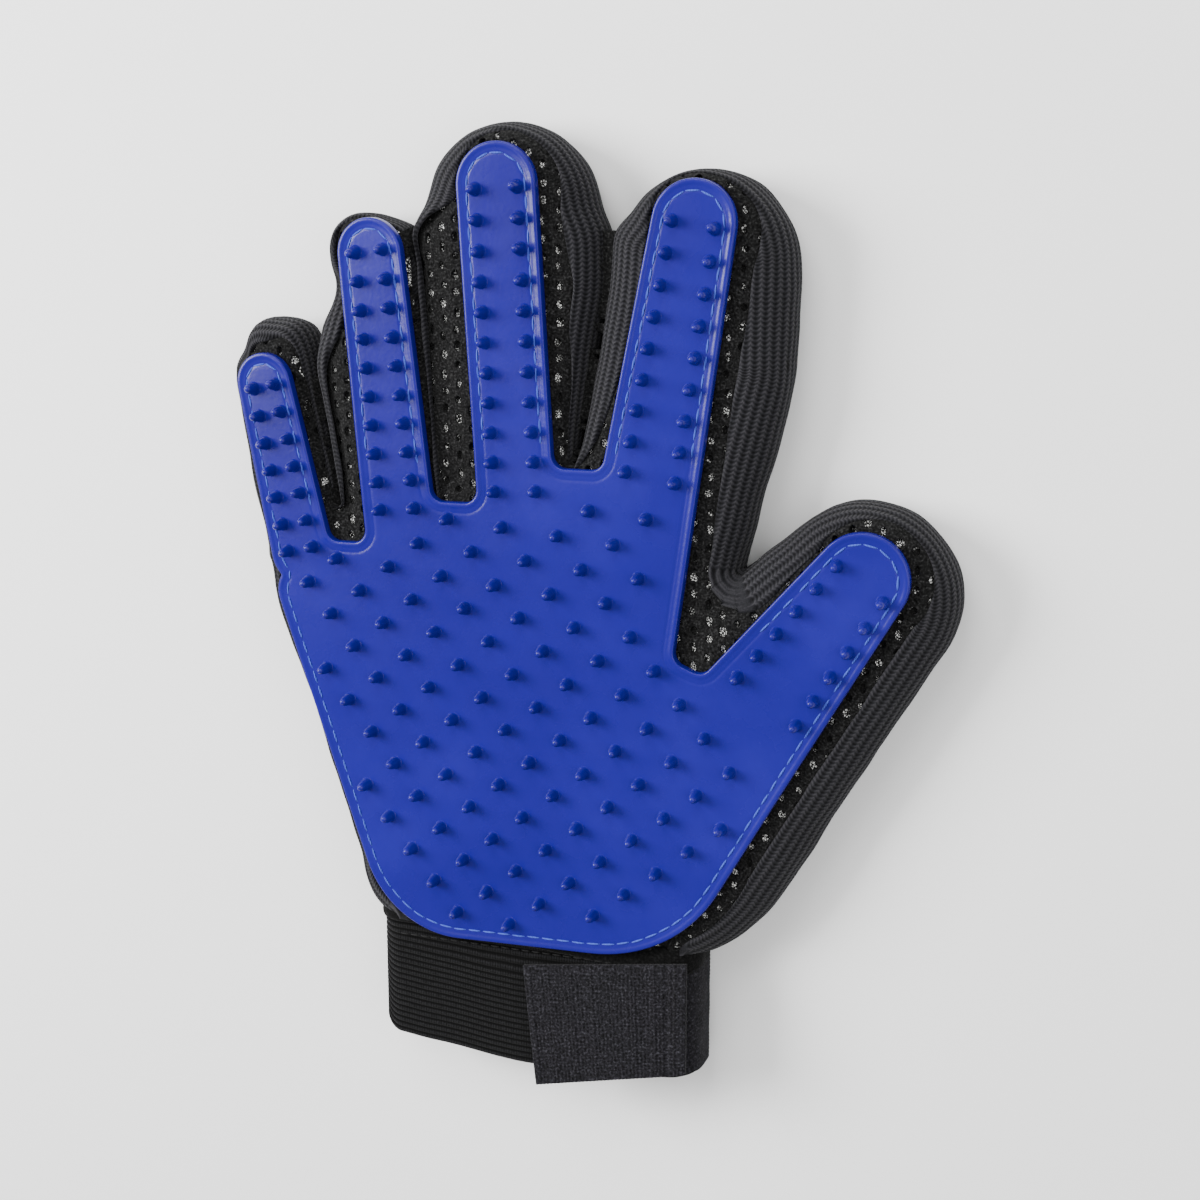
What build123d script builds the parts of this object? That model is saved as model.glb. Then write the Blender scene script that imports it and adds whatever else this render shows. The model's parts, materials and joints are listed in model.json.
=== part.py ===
from build123d import *
import os
from math import hypot, radians, tan

os.makedirs("parts", exist_ok=True)

# Grooming glove for the right hand, in millimetres. It lies on its knitted back,
# palm up: +X towards the thumb, +Y towards the fingertips, +Z out of the palm.

# Fabric tubes
TUBE_HEIGHT = 20.0  # fingers and palm, lying flat
SHOULDER = 8.0  # rounding of a tube's long edges
FABRIC = 1.4  # knit and mesh thickness
SEAM_HEIGHT = 18.0  # knit below, mesh above
WRIST_Y = -80.0  # open end of the palm
LINING = 0.5
LINING_Z = 17.9
LINING_INSET = 6.5

# Silicone pad
PAD = 2.2
PAD_TOP = TUBE_HEIGHT + PAD
NUB_HEIGHT = 4.2
NUB_BASE_RADIUS = 1.4
NUB_TIP_RADIUS = 1.1
NUB_SINK = 0.3  # how far a nub's body runs into the pad, so that they are one moulding
NOTCH_RADIUS = 3.3
ZONE_MARGIN = 1.5  # taken round a pad finger when it is cut out; short of its neighbours
THREAD_INSET = 2.1
THREAD_WIDTH = 0.4
THREAD_HEIGHT = 0.3

# Flex lines
AXIS_HEIGHT = PAD_TOP + 2.6  # hinge axes run at mid nub height
FLEX_GAP = 0.4
BASE_GAP = 1.2  # the knuckles also bend back
BACKWARD_BEND = 10.5  # degrees of room for bending back
THUMB_ROOM = 0.6  # kept clear round the thumb where it passes the palm

# Wrist strap
STRAP_LEFT, STRAP_RIGHT = -53.0, 32.5
STRAP_BOTTOM_Y = -116.0
STRAP_THICKNESS = 1.6
STRAP_Z = (1.0, 18.0)
STRAP_CORNER = 6.0
HEM_LENGTH = 6.0
HEM_THICKNESS = 0.9
HEM_FIT = 0.1  # the hem lies this far outside the elastic
HEM_FOLD = 7.0
HEM_SEAM_Y = -84.0
STITCH_HEIGHT = 0.2
LOOP_THICKNESS = 0.8
LOOP_LEFT, LOOP_RIGHT = -6.0, 26.0
LOOP_BOTTOM, LOOP_TOP = -113.0, -90.0
LOOP_CORNER = 2.0
LOOP_SEAM_INSET = 1.5
HOOK_Z = 19.3  # underside of the hooks, clear of the loops
HOOK_THICKNESS = 0.7
TAB_THICKNESS = 1.5
TAB_CORNERS = [(-11.5, -87.0), (32.0, -80.5), (32.0, -110.0), (-8.0, -119.4)]
TAB_ROUNDING = 1.0
HOOK_MARGIN = 3.0
TAB_SEAM_X = 29.0
TAB_SEAM_ENDS = (-108.0, -82.5)

# Plans of the tubes: the hull of circles (x, y, radius), from the tip inwards
TUBES = {
    "little": [(-81.5, 60.5, 11.5), (-77.0, 30.0, 14.0), (-76.5, 12.0, 13.0)],
    "ring": [(-55.0, 83.0, 15.0), (-46.0, 10.0, 11.5)],
    "middle": [(-16.5, 98.0, 21.0), (-15.2, 82.0, 21.8), (-17.5, 20.0, 15.0)],
    "index": [(32.0, 87.0, 21.0), (31.0, 64.5, 21.8), (18.0, 11.0, 21.0)],
    "thumb": [(71.5, 12.0, 21.5), (41.0, -24.5, 22.5), (21.0, -47.5, 35.0)],
}
PALM_TUBE = [
    (-76.5, 12.0, 13.5),
    (-35.5, -53.5, 30.5),
    (21.0, -47.5, 35.0),
    (18.0, 11.0, 21.0),
]

# Each finger of the pad: tip and root circles, then its rows of two nubs, counted from
# the tip: how many, the first one's distance, the pitch, half the spacing at the first
# and at the last row, and the row just beyond each of its two flex lines.
PAD_FINGERS = {
    "little": ((-79.0, 57.0, 7.5), (-70.0, 15.0, 8.5), 7, 0.8, 6.86, 3.1, 3.6, 1, 4),
    "ring": ((-49.0, 89.0, 8.5), (-42.0, 18.0, 9.6), 10, -0.6, 6.92, 3.7, 4.6, 3, 7),
    "middle": ((-16.0, 105.0, 10.0), (-11.4, 25.0, 10.0), 11, 0.7, 7.09, 5.3, 5.3, 3, 8),
    "index": ((32.0, 96.5, 10.0), (14.0, -8.5, 13.3), 9, 0.3, 7.30, 5.1, 6.2, 3, 7),
    "thumb": ((72.5, 17.5, 11.0), (40.0, -27.5, 16.5), 6, 0.9, 7.20, 6.6, 8.8, 1, 3),
}
PALM_PAD = [
    (-69.5, 5.0, 7.5),
    (-29.0, -56.0, 26.0),
    (6.5, -43.0, 38.0),
    (40.0, -27.5, 16.5),
    (14.0, -13.0, 12.5),
]
# Floors of the notches between the fingers, as steps under the fingers' roots
PALM_STEPS = [
    (-71.0, 0.0),
    (-71.0, 18.5),
    (-42.5, 18.5),
    (-42.5, 30.0),
    (-12.0, 30.0),
    (-12.0, 39.5),
    (22.0, 39.5),
    (15.0, -10.0),
]
NOTCH_CORNERS = [
    (-61.8, 18.5),
    (-51.7, 18.5),
    (-33.6, 30.0),
    (-21.7, 30.0),
    (-2.2, 39.5),
    (10.3, 39.5),
    (29.0, -5.9),
    (38.0, -9.5),
]

# Palm nubs stand on a slanted lattice, every other point used: lattice row, its first
# half column and how many nubs it has.
LATTICE_ORIGIN = Vector(-60.0, 14.3)
LATTICE_COLUMN = Vector(14.25, -1.25)
LATTICE_ROW = Vector(-0.94, -7.1)
LATTICE_ROWS = [
    (-3, 9, 2), (-2, 4, 4), (-1, 3, 5), (0, 0, 6), (1, -1, 7), (2, 0, 7), (3, 1, 7), (4, 0, 8),
    (5, 1, 8), (6, 2, 7), (7, 3, 7), (8, 2, 7), (9, 3, 6), (10, 4, 5), (11, 5, 4), (12, 6, 2),
]


def save(part, label):
    """Write one finished sub-part."""
    part.label = label
    export_step(part, f"parts/{label}.step")


def hull_sketch(circles, inset=0.0):
    """Plan face: the hull of circles, drawn in by inset."""
    with BuildSketch() as plan:
        for x, y, radius in circles:
            with Locations((x, y)):
                Circle(radius - inset)
        make_hull()
    return plan.sketch


def flat_tube(circles, inset=0.0):
    """Solid tube lying flat, with rounded long edges, drawn in by inset all round."""
    with BuildPart() as tube:
        with BuildSketch(Plane.XY.offset(inset)):
            add(hull_sketch(circles, inset))
        extrude(amount=TUBE_HEIGHT - 2 * inset)
        levels = tube.edges().group_by(Axis.Z)
        fillet(levels[0] + levels[-1], radius=SHOULDER - inset)
    return tube.part


def finger_direction(name):
    """Unit vector along a pad finger, root to tip."""
    tip, root = PAD_FINGERS[name][:2]
    length = hypot(tip[0] - root[0], tip[1] - root[1])
    return Vector((tip[0] - root[0]) / length, (tip[1] - root[1]) / length)


def flex_line(name, row):
    """Where a finger bends: the middle of the gap after a nub row, and its normal.

    The four fingers bend about axes parallel to X, the thumb square to its own length.
    """
    tip, _, _, first, pitch = PAD_FINGERS[name][:5]
    along = finger_direction(name)
    point = Vector(tip[0], tip[1]) - along * (first + (row + 0.5) * pitch)
    return point, (along if name == "thumb" else Vector(0, 1))


def flex_plane(name, row, offset, lean=0.0):
    """Cutting plane at a flex line, facing the fingertip; its foot leans towards the tip."""
    point, normal = flex_line(name, row)
    origin = point + normal * offset
    return Plane(
        origin=(origin.X, origin.Y, AXIS_HEIGHT),
        x_dir=normal.cross(Vector(0, 0, 1)),
        z_dir=normal + Vector(0, 0, tan(radians(lean))),
    )


def cut_to_segment(shape, name, segment):
    """The part of shape in a finger's base or tip segment, or in its root on the palm."""
    mid_row, base_row = PAD_FINGERS[name][7:9]
    with BuildPart() as piece:
        add(shape)
        if segment == "root":
            split(bisect_by=flex_plane(name, base_row, -BASE_GAP / 2), keep=Keep.BOTTOM)
        if segment == "beyond root":
            split(bisect_by=flex_plane(name, base_row, -BASE_GAP / 2), keep=Keep.TOP)
        if segment == "base":
            lower = flex_plane(name, base_row, BASE_GAP / 2, BACKWARD_BEND)
            split(bisect_by=lower, keep=Keep.TOP)
            split(bisect_by=flex_plane(name, mid_row, -FLEX_GAP / 2), keep=Keep.BOTTOM)
        if segment == "tip":
            split(bisect_by=flex_plane(name, mid_row, FLEX_GAP / 2), keep=Keep.TOP)
    return piece.part


def nub_points(name):
    """Nub places on one finger of the pad."""
    tip, _, rows, first, pitch, near, far = PAD_FINGERS[name][:7]
    along = finger_direction(name)
    across = Vector(along.Y, -along.X)
    points = []
    for row in range(rows):
        centre = Vector(tip[0], tip[1]) - along * (first + row * pitch)
        half = near + (far - near) * row / (rows - 1)
        points += [centre - across * half, centre + across * half]
    return points


def palm_nub_points():
    """Nub places of the palm's lattice."""
    points = []
    for row, start, count in LATTICE_ROWS:
        for k in range(count):
            columns = start / 2 + k
            points.append(LATTICE_ORIGIN + LATTICE_COLUMN * columns + LATTICE_ROW * row)
    return points


def pad_outline(rounded):
    """Plan of the whole pad, with the notch corners rounded or left square."""
    with BuildSketch() as outline:
        for tip, root, *_ in PAD_FINGERS.values():
            add(hull_sketch([tip, root]))
        add(hull_sketch(PALM_PAD))
        with BuildLine():
            Polyline(*PALM_STEPS, close=True)
        make_face()
        if rounded:
            for corner in NOTCH_CORNERS:
                nearest = outline.vertices().sort_by_distance(Vector(*corner))[0]
                fillet(nearest, radius=NOTCH_RADIUS)
    return outline.sketch


# Whole silicone pad: one moulding with its nubs

with BuildPart() as nub:
    with BuildSketch(Plane.XZ):
        with BuildLine():
            shoulder = NUB_HEIGHT - NUB_TIP_RADIUS
            Polyline((0, -NUB_SINK), (NUB_BASE_RADIUS, -NUB_SINK), (NUB_BASE_RADIUS, 0),
                     (NUB_TIP_RADIUS, shoulder))
            RadiusArc((NUB_TIP_RADIUS, shoulder), (0, NUB_HEIGHT), -NUB_TIP_RADIUS)
            Line((0, NUB_HEIGHT), (0, -NUB_SINK))
        make_face()
    revolve(axis=Axis.Z)

with BuildPart() as whole_pad:
    with BuildSketch(Plane.XY.offset(TUBE_HEIGHT)):
        add(pad_outline(rounded=True))
    extrude(amount=PAD)
    places = palm_nub_points()
    for finger in PAD_FINGERS:
        places += nub_points(finger)
    with Locations(*[(p.X, p.Y, PAD_TOP) for p in places]):
        add(nub.part)

# Seam that sews the pad down, all round its edge

with BuildPart() as whole_thread:
    with BuildSketch(Plane.XY.offset(PAD_TOP)):
        add(pad_outline(rounded=False))
        offset(amount=-THREAD_INSET, kind=Kind.INTERSECTION, mode=Mode.REPLACE)
        offset(amount=-THREAD_WIDTH, kind=Kind.INTERSECTION, mode=Mode.SUBTRACT)
    extrude(amount=THREAD_HEIGHT)


def finger_zone(name):
    """Block that holds one finger of the pad and nothing of its neighbours."""
    with BuildPart() as zone:
        add(hull_sketch(PAD_FINGERS[name][:2], -ZONE_MARGIN))
        extrude(amount=2 * TUBE_HEIGHT)
    return zone.part


def cut_to_finger(shape, name, segment):
    """The part of a whole-hand shape that belongs to one segment of one finger."""
    zone = cut_to_segment(finger_zone(name), name, segment)
    with BuildPart() as piece:
        add(shape)
        add(zone, mode=Mode.INTERSECT)
    return piece.part


def cut_to_palm(shape):
    """The part of a whole-hand shape that stays on the palm."""
    zones = [cut_to_segment(finger_zone(name), name, "beyond root") for name in PAD_FINGERS]
    with BuildPart() as piece:
        add(shape)
        for zone in zones:
            add(zone, mode=Mode.SUBTRACT)
    return piece.part


# Fingers: each segment is a knit shell, a mesh panel, a piece of the pad and its thread

for finger, circles in TUBES.items():
    with BuildPart() as shell:
        add(flat_tube(circles))
        add(flat_tube(circles, FABRIC), mode=Mode.SUBTRACT)
    for segment in ("base", "tip"):
        with BuildPart() as knit:
            add(cut_to_segment(shell.part, finger, segment))
            split(bisect_by=Plane.XY.offset(SEAM_HEIGHT), keep=Keep.BOTTOM)
        save(knit.part, f"{finger}_{segment}_knit")
        with BuildPart() as mesh:
            add(cut_to_segment(shell.part, finger, segment))
            split(bisect_by=Plane.XY.offset(SEAM_HEIGHT), keep=Keep.TOP)
        save(mesh.part, f"{finger}_{segment}_mesh")
        save(cut_to_finger(whole_pad.part, finger, segment), f"{finger}_{segment}_pad")
        save(cut_to_finger(whole_thread.part, finger, segment), f"{finger}_{segment}_thread")

# Palm

with BuildPart() as palm_outer:
    add(flat_tube(PALM_TUBE))
    for finger, circles in TUBES.items():
        add(cut_to_segment(flat_tube(circles), finger, "root"))

with BuildPart() as palm_shell:
    add(palm_outer.part)
    add(flat_tube(PALM_TUBE, FABRIC), mode=Mode.SUBTRACT)
    for finger, circles in TUBES.items():
        add(flat_tube(circles, FABRIC), mode=Mode.SUBTRACT)
    thumb_room = cut_to_segment(flat_tube(TUBES["thumb"], -THUMB_ROOM), "thumb", "beyond root")
    add(thumb_room, mode=Mode.SUBTRACT)
    split(bisect_by=Plane.XZ.offset(-WRIST_Y), keep=Keep.BOTTOM)

with BuildPart() as palm_knit:
    add(palm_shell.part)
    split(bisect_by=Plane.XY.offset(SEAM_HEIGHT), keep=Keep.BOTTOM)
save(palm_knit.part, "palm_knit")

with BuildPart() as palm_mesh:
    add(palm_shell.part)
    split(bisect_by=Plane.XY.offset(SEAM_HEIGHT), keep=Keep.TOP)
save(palm_mesh.part, "palm_mesh")

save(cut_to_palm(whole_pad.part), "palm_pad")
save(cut_to_palm(whole_thread.part), "palm_thread")

with BuildPart() as palm_lining:
    with BuildSketch(Plane.XY.offset(LINING_Z)):
        add(hull_sketch(PALM_TUBE, LINING_INSET))
    extrude(amount=LINING)
    split(bisect_by=Plane.XZ.offset(-WRIST_Y), keep=Keep.BOTTOM)
save(palm_lining.part, "palm_lining")


# Wrist strap: elastic band in the hem, loop patch on it, and the hook tab that closes it


def band(left, right, low, high, corner, thickness, top_y, bottom_y):
    """Closed flat band round the wrist."""
    width, height = right - left, high - low
    with BuildPart() as ring:
        with BuildSketch(Plane.XZ.offset(-top_y)):
            with Locations(((left + right) / 2, (low + high) / 2)):
                RectangleRounded(width, height, corner)
                RectangleRounded(
                    width - 2 * thickness,
                    height - 2 * thickness,
                    corner - thickness,
                    mode=Mode.SUBTRACT,
                )
        extrude(amount=top_y - bottom_y)
    return ring.part


def seam_run(start, end, height):
    """Straight run of sewing thread lying on a surface at the given height."""
    with BuildPart() as run:
        with BuildSketch(Plane.XY.offset(height)):
            with BuildLine():
                Line(start, end)
            trace(line_width=THREAD_WIDTH)
        extrude(amount=STITCH_HEIGHT)
    return run.part


save(
    band(STRAP_LEFT, STRAP_RIGHT, *STRAP_Z, STRAP_CORNER, STRAP_THICKNESS, WRIST_Y, STRAP_BOTTOM_Y),
    "wrist_elastic",
)

hem_out = HEM_THICKNESS + HEM_FIT
hem_top = STRAP_Z[1] + hem_out
save(
    band(
        STRAP_LEFT - hem_out,
        STRAP_RIGHT + hem_out,
        0.0,
        hem_top,
        HEM_FOLD,
        HEM_THICKNESS,
        WRIST_Y,
        WRIST_Y - HEM_LENGTH,
    ),
    "wrist_hem",
)
hem_seam_start = (STRAP_LEFT + HEM_FOLD, HEM_SEAM_Y)
hem_seam_end = (STRAP_RIGHT - HEM_FOLD, HEM_SEAM_Y)
save(seam_run(hem_seam_start, hem_seam_end, hem_top), "hem_thread")


def loop_rectangle(inset):
    """Rounded plan of the loop patch, drawn in by inset."""
    with BuildSketch() as plan:
        with Locations(((LOOP_LEFT + LOOP_RIGHT) / 2, (LOOP_BOTTOM + LOOP_TOP) / 2)):
            RectangleRounded(
                LOOP_RIGHT - LOOP_LEFT - 2 * inset,
                LOOP_TOP - LOOP_BOTTOM - 2 * inset,
                LOOP_CORNER,
            )
    return plan.sketch


with BuildPart() as loop_patch:
    with BuildSketch(Plane.XY.offset(STRAP_Z[1])):
        add(loop_rectangle(0.0))
    extrude(amount=LOOP_THICKNESS)
save(loop_patch.part, "loop_patch")

with BuildPart() as loop_thread:
    with BuildSketch(Plane.XY.offset(STRAP_Z[1] + LOOP_THICKNESS)):
        add(loop_rectangle(LOOP_SEAM_INSET))
        add(loop_rectangle(LOOP_SEAM_INSET + THREAD_WIDTH), mode=Mode.SUBTRACT)
    extrude(amount=STITCH_HEIGHT)
save(loop_thread.part, "loop_thread")

with BuildPart() as hook_tab:
    with BuildSketch(Plane.XY.offset(HOOK_Z + HOOK_THICKNESS)):
        Polygon(*TAB_CORNERS, align=None)
    extrude(amount=TAB_THICKNESS)
    fillet(hook_tab.edges().filter_by(Axis.Z), radius=TAB_ROUNDING)
save(hook_tab.part, "hook_tab")

with BuildPart() as hook_face:
    with BuildSketch(Plane.XY.offset(HOOK_Z)):
        Polygon(*TAB_CORNERS, align=None)
        offset(amount=-HOOK_MARGIN, mode=Mode.REPLACE)
    extrude(amount=HOOK_THICKNESS)
save(hook_face.part, "hook_face")

tab_top = HOOK_Z + HOOK_THICKNESS + TAB_THICKNESS
low_end, high_end = TAB_SEAM_ENDS
save(seam_run((TAB_SEAM_X, low_end), (TAB_SEAM_X, high_end), tab_top), "hook_tab_thread")
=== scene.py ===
import json
from math import cos, pi, radians, sin

import bpy
import numpy as np
from mathutils import Matrix, Vector, noise
from mathutils.geometry import delaunay_2d_cdt


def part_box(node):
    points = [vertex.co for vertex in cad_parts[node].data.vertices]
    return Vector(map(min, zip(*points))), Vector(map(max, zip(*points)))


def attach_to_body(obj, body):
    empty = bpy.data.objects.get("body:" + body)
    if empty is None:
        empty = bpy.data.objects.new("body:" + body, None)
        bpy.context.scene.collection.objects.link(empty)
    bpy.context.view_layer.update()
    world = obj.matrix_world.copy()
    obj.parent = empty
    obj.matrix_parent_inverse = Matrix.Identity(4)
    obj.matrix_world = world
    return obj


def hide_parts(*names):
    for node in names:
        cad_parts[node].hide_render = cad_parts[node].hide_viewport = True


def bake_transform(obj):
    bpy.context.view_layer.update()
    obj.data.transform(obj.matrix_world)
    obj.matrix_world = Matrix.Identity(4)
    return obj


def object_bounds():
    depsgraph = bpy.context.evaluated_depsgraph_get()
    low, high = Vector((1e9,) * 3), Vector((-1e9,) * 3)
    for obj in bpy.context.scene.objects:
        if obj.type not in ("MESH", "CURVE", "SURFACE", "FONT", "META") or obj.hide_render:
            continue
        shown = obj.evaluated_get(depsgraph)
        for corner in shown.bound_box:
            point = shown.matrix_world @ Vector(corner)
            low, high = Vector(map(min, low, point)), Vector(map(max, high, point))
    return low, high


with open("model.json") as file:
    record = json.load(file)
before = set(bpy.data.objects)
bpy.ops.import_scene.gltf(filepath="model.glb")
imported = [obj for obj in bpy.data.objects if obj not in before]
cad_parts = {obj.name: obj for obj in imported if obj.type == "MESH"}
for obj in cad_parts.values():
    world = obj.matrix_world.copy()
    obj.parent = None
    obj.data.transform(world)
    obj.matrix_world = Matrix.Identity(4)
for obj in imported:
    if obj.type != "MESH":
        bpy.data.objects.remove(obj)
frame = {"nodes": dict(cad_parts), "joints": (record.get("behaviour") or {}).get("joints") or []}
cad_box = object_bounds()

# Grooming glove around its CAD frame. Shapes are worked out in millimetres in the frame's
# axes, and turned into metres when a mesh is made.

MM = 0.001
FINGERS = ("little", "ring", "middle", "index", "thumb")
JOINTS = {joint["name"]: joint for joint in frame["joints"]}

# Spans along each finger, in mm past its knuckle line: where the finger's own pieces start,
# the knuckle's bend from and to, where its lower piece meets its upper one, and the middle
# joint's bend from and to. The bends are listed but not applied here.
FOLDS = {
    "little": (1.5, (2.8, 10.5), 12.0, (13.5, 26.5)),
    "ring": (-6.5, (-5.0, 8.0), 14.0, (20.5, 34.5)),
    "middle": (-4.0, (-2.6, 9.0), 18.0, (28.4, 42.4)),
    "index": (-2.1, (-0.8, 10.0), 15.0, (21.8, 35.8)),
    "thumb": (2.6, (4.3, 9.3), 11.2, (12.4, 20.5)),
}

# The cloth tubes, as the CAD lays them out: hulls of circles (x, y, radius)
TUBES = {
    "little": [(-81.5, 60.5, 11.5), (-77.0, 30.0, 14.0), (-76.5, 12.0, 13.0)],
    "ring": [(-55.0, 83.0, 15.0), (-46.0, 10.0, 11.5)],
    "middle": [(-16.5, 98.0, 21.0), (-15.2, 82.0, 21.8), (-17.5, 20.0, 15.0)],
    "index": [(32.0, 87.0, 21.0), (31.0, 64.5, 21.8), (18.0, 11.0, 21.0)],
    "thumb": [(71.5, 12.0, 21.5), (41.0, -24.5, 22.5), (21.0, -47.5, 35.0)],
}
PALM_TUBE = [(-76.5, 12.0, 13.5), (-35.5, -53.5, 30.5), (21.0, -47.5, 35.0), (18.0, 11.0, 21.0)]
PLUMPNESS = 0.6  # how far the cloth bulges past the CAD tubes

CLOTH_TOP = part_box("palm_mesh")[1].z / MM
CLOTH_FOOT = 0.5
EQUATOR = 9.5  # height of the cloth's widest line
ROUNDING = 13.0  # how far in from the outline the cloth's top curves
FOOT_ROUNDING = 9.0
ROUNDNESS = 2.2  # how square the cloth's shoulders are: 2 is a circle's curve
WRIST_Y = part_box("wrist_elastic")[1].y / MM
MESH_STRIP = (0.6, 5.2)  # width of mesh beside the silicone, on a finger's left and right
KNIT_WIDTH = (0.36, 14.0)  # the knit's least width, as a share of its curve, and its most
WALE = 2.2  # pitch of the knit's ribs
WALE_DEPTH = 0.06
TOUCHING = (0.5, 5.6, 7.6)  # gap left between fingers, and where they stop filling it
LEFT_GAP = 4.5  # cloth that stands out past the silicone on the little finger's side
LEFT_SIDE = (0.3, 0.4, -55, 8)  # where that side starts and fills in: by facing, and by x
FINGER_GAPS = (20, 25)  # the gaps between the four fingers lie left of x and past y
LOWEST = 0.15  # how near the cloth comes to the floor

PAD_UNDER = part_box("middle_tip_thread")[0].z / MM - 2.2
PAD_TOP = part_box("middle_tip_thread")[0].z / MM
NUB_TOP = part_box("palm_pad")[1].z / MM

random = np.random.default_rng(7)


# Plan geometry

CHUNK = 512  # points measured at once
HEX_ROW = 0.866  # row spacing of a triangular grid, as a share of its pitch


def nodes_of(kind):
    """CAD nodes of one kind: the palm's, then two for each finger."""
    return [f"palm_{kind}"] + [f"{f}_{s}_{kind}" for f in FINGERS for s in ("base", "tip")]


def cad_points(node):
    """A CAD node's vertices in millimetres."""
    mesh = frame["nodes"][node].data
    flat = np.zeros(len(mesh.vertices) * 3)
    mesh.vertices.foreach_get("co", flat)
    return flat.reshape(-1, 3) / MM


def used_once(rings):
    """The edges that only one of some closed rings has."""
    uses = {}
    for ring in rings:
        for a, b in zip(ring, ring[1:] + ring[:1]):
            if a != b:
                key = (min(a, b), max(a, b))
                uses[key] = uses.get(key, 0) + 1
    return [edge for edge, count in uses.items() if count == 1]


def flat_edges(node, height):
    """The outline edges of a CAD node's faces that lie at one height."""
    points = np.round(cad_points(node), 2)
    faces = [[points[v] for v in face.vertices] for face in frame["nodes"][node].data.polygons]
    level = [face for face in faces if max(abs(c[2] - height) for c in face) <= 0.02]
    return used_once([[(float(c[0]), float(c[1])) for c in face] for face in level])


def chains(edges):
    """Edges joined end to end into runs of points; a closed run repeats its first."""
    links = {}
    for a, b in edges:
        links.setdefault(a, []).append(b)
        links.setdefault(b, []).append(a)
    runs = []
    while links:
        ends = [p for p, others in links.items() if len(others) == 1]
        point = ends[0] if ends else next(iter(links))
        run = [point]
        while links.get(point):
            following = links[point].pop()
            links[following].remove(point)
            if not links[point]:
                del links[point]
            point = following
            run.append(point)
        links.pop(point, None)
        runs.append(np.array(run))
    return runs


def signed_distance(points, loop):
    """How far inside a closed loop each point is; negative outside."""
    a = loop
    ab = np.roll(loop, -1, 0) - a
    span = np.maximum((ab**2).sum(1), 1e-12)
    slope = np.where(np.abs(ab[:, 1]) < 1e-12, 1e-12, ab[:, 1])
    b_high = np.roll(loop, -1, 0)[:, 1]
    result = np.empty(len(points))
    for k in range(0, len(points), CHUNK):
        p = points[k : k + CHUNK, None]
        t = np.clip(((p - a) * ab).sum(2) / span, 0, 1)
        away = p - a - t[..., None] * ab
        near = np.sqrt((away**2).sum(2).min(1))
        straddles = (a[:, 1] > p[..., 1]) != (b_high > p[..., 1])
        left = p[..., 0] < a[:, 0] + ab[:, 0] * (p[..., 1] - a[:, 1]) / slope
        inside = (straddles & left).sum(1) % 2 == 1
        result[k : k + CHUNK] = np.where(inside, near, -near)
    return result


def hull_of(circles):
    """Closed hull of the plumped circles, anticlockwise."""
    turn = np.linspace(0, 2 * pi, 181)[:-1]
    round_it = np.c_[np.cos(turn), np.sin(turn)]
    dots = np.vstack([np.array([x, y]) + (r + PLUMPNESS) * round_it for x, y, r in circles])
    dots = dots[np.lexsort((dots[:, 1], dots[:, 0]))]
    halves = []
    for ordered in (dots, dots[::-1]):
        half = []
        for p in ordered:
            while len(half) > 1:
                u, v = half[-1] - half[-2], p - half[-2]
                if u[0] * v[1] - u[1] * v[0] > 1e-9:
                    break
                half.pop()
            half.append(p)
        halves.append(half[:-1])
    return np.array(halves[0] + halves[1])


def union_outline(loops):
    """Outline of overlapping closed loops."""
    corners = [Vector(p) for loop in loops for p in loop]
    firsts = np.cumsum([0] + [len(loop) for loop in loops])
    faces = [list(range(a, b)) for a, b in zip(firsts, firsts[1:])]
    points, _, triangles = delaunay_2d_cdt(corners, [], faces, 1, 1e-4)[:3]
    runs = chains([(tuple(points[a]), tuple(points[b])) for a, b in used_once(triangles)])
    return max(runs, key=len)[:-1]


def around(loop, start=None):
    """A closed loop made anticlockwise, starting at the point nearest to start."""
    following = np.roll(loop, -1, 0)
    if (loop[:, 0] * following[:, 1] - loop[:, 1] * following[:, 0]).sum() < 0:
        loop = loop[::-1]
    if start is not None:
        loop = np.roll(loop, -int(((loop - start) ** 2).sum(1).argmin()), 0)
    return loop


def blurred(values, width):
    """Values round a closed loop, smoothed."""
    window = np.hanning(width + 2)[1:-1]
    window /= window.sum()
    half = width // 2
    padded = np.concatenate([values[-half:], values, values[:half]])
    return np.convolve(padded, window, "valid")


def evened(loop, step, turn, blur):
    """A closed loop smoothed over blur, with points at most step apart and closer where
    it turns by more than turn degrees; returns the points, their inward normals and how
    far along each is."""
    fine = 0.1
    closed = np.vstack([loop, loop[:1]])
    along = np.r_[0, np.cumsum(np.hypot(*np.diff(closed, axis=0).T))]
    count = int(along[-1] / fine)
    at = np.arange(count) * along[-1] / count
    width = 2 * max(1, int(blur / fine / 2)) + 1
    dense = np.c_[tuple(blurred(np.interp(at, along, values), width) for values in closed.T)]
    tangent = np.roll(dense, -1, 0) - np.roll(dense, 1, 0)
    tangent /= np.hypot(*tangent.T)[:, None]
    heading = np.unwrap(np.arctan2(tangent[:, 1], tangent[:, 0]))
    bend = np.abs(np.gradient(heading)) / fine
    cost = np.cumsum(np.maximum(1 / step, bend / radians(turn)) * fine)
    total = int(round(cost[-1]))
    pick = np.searchsorted(cost, (np.arange(total) + 0.5) * cost[-1] / total)
    pick = np.minimum(pick, count - 1)
    inward = np.c_[-tangent[pick, 1], tangent[pick, 0]]
    return dense[pick], inward, at[pick]


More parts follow.
